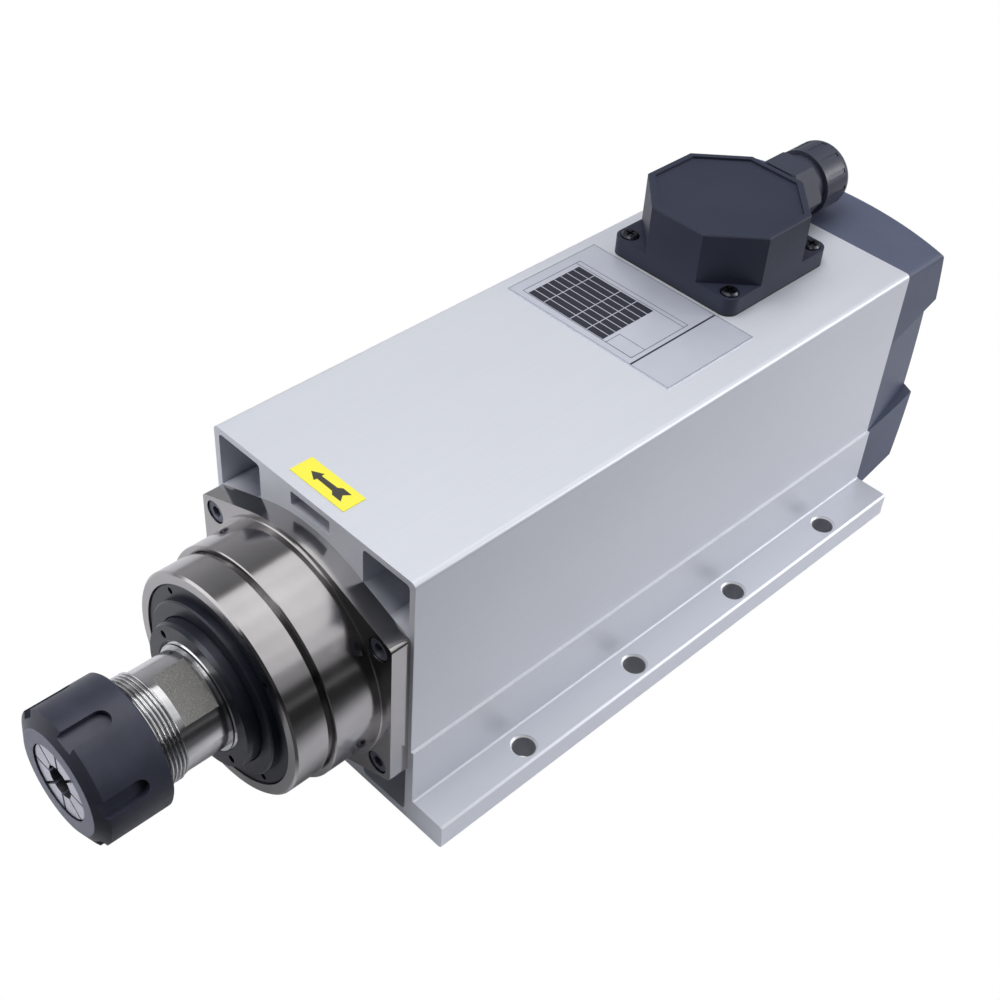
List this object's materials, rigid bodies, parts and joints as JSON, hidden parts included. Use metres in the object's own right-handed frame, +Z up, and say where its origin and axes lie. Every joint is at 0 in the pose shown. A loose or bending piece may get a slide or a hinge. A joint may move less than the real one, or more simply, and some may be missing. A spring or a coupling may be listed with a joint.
{
  "type": "motor spindle",
  "caption": "Air-cooled motor spindle: channelled aluminium body on a drilled foot, steel bearing nose, collet nut, terminal box with cable gland, fan cover.",
  "frame": {"origin": "middle of the foot's underside, halfway along the extruded body", "axes": "X across, Y along the spindle axis with the nose at -Y and the fan at +Y, Z up"},
  "size_m": [0.137, 0.4108, 0.1485],
  "materials": {
    "body_aluminium": "extruded and silver anodised, satin",
    "nose_steel": "turned and polished, dark nickel plated",
    "screw_steel": "black oxide",
    "black_steel": "blackened steel, half gloss",
    "bearing_steel": "ground bearing steel",
    "lamination_steel": "varnished laminations",
    "copper": "varnished copper wire",
    "lead_sleeve": "silicone sleeving",
    "plate_aluminium": "plain aluminium",
    "cover_plastic": "fine spark texture",
    "box_plastic": "fine texture",
    "block_plastic": "plain moulded",
    "gland_plastic": "moulded nylon, half gloss",
    "fan_plastic": "plain moulded",
    "rubber": "matt rubber",
    "pan_screw_steel": "zinc plated",
    "label_yellow": "printed film",
    "shaft_steel": "ground",
    "cage_brass": "machined brass",
    "collet_steel": "ground, satin",
    "nut_steel": "blackened steel, satin"
  },
  "bodies": {
    "housing": {"housing_extrusion": "body_aluminium", "front_bearing_housing": "nose_steel", "flange_screws": "screw_steel", "front_clamp_ring": "black_steel", "front_bearing_outer_rings": "bearing_steel", "rear_bearing_outer_ring": "bearing_steel", "stator_core": "lamination_steel", "stator_windings": "copper", "motor_leads": "lead_sleeve", "rear_bearing_housing": "plate_aluminium", "rear_housing_screws": "screw_steel", "preload_spring": "bearing_steel", "rear_cover": "cover_plastic", "cover_screws": "screw_steel", "terminal_box": "box_plastic", "terminal_gasket": "rubber", "terminal_box_screws": "pan_screw_steel", "terminal_block": "block_plastic", "terminal_clamp_screws": "pan_screw_steel", "gland_body": "gland_plastic", "gland_washer": "rubber", "nameplate": "plate_aluminium", "arrow_label": "label_yellow"},
    "rotor": {"spindle_shaft": "shaft_steel", "labyrinth_nut": "black_steel", "front_bearing_inner_rings": "bearing_steel", "rear_bearing_inner_ring": "bearing_steel", "rear_locknut": "black_steel", "rotor_core": "lamination_steel", "rotor_cage": "plate_aluminium", "cooling_fan": "fan_plastic", "fan_screw": "pan_screw_steel"},
    "front_ball_set": {"front_balls": "bearing_steel", "front_ball_cages": "cage_brass"},
    "rear_ball_set": {"rear_balls": "bearing_steel", "rear_ball_cage": "cage_brass"},
    "collet_carrier": {"collet": "collet_steel"},
    "nut": {"collet_nut": "nut_steel"},
    "seal": {"gland_seal": "rubber"},
    "cap": {"gland_cap": "gland_plastic"}
  },
  "joints": [
    {"name": "spindle_spin", "type": "hinge", "parent": "housing", "child": "rotor", "pos_m": [0, 0, 0.06], "axis": [0, -1, 0], "continuous": true},
    {"name": "front_balls_roll", "type": "hinge", "parent": "housing", "child": "front_ball_set", "pos_m": [0, 0, 0.06], "axis": [0, -1, 0], "continuous": true},
    {"name": "rear_balls_roll", "type": "hinge", "parent": "housing", "child": "rear_ball_set", "pos_m": [0, 0, 0.06], "axis": [0, -1, 0], "continuous": true},
    {"name": "collet_out", "type": "slide", "parent": "rotor", "child": "collet_carrier", "axis": [0, -1, 0], "range_m": [0, 0.003]},
    {"name": "nut_turn", "type": "hinge", "parent": "collet_carrier", "child": "nut", "pos_m": [0, 0, 0.06], "axis": [0, -1, 0], "range_deg": [0, 725]},
    {"name": "seal_out", "type": "slide", "parent": "housing", "child": "seal", "axis": [0, 1, 0], "range_m": [0, 0.0045]},
    {"name": "cap_turn", "type": "hinge", "parent": "seal", "child": "cap", "pos_m": [-0.0072, 0, 0.1345], "axis": [0, 1, 0], "range_deg": [0, 1085]}
  ],
  "couplings": [
    {"joint": "front_balls_roll", "follows": "spindle_spin", "ratio": 0.418},
    {"joint": "rear_balls_roll", "follows": "spindle_spin", "ratio": 0.406},
    {"joint": "nut_turn", "follows": "collet_out", "rad_per_m": 4188.8},
    {"joint": "cap_turn", "follows": "seal_out", "rad_per_m": 4188.8}
  ]
}
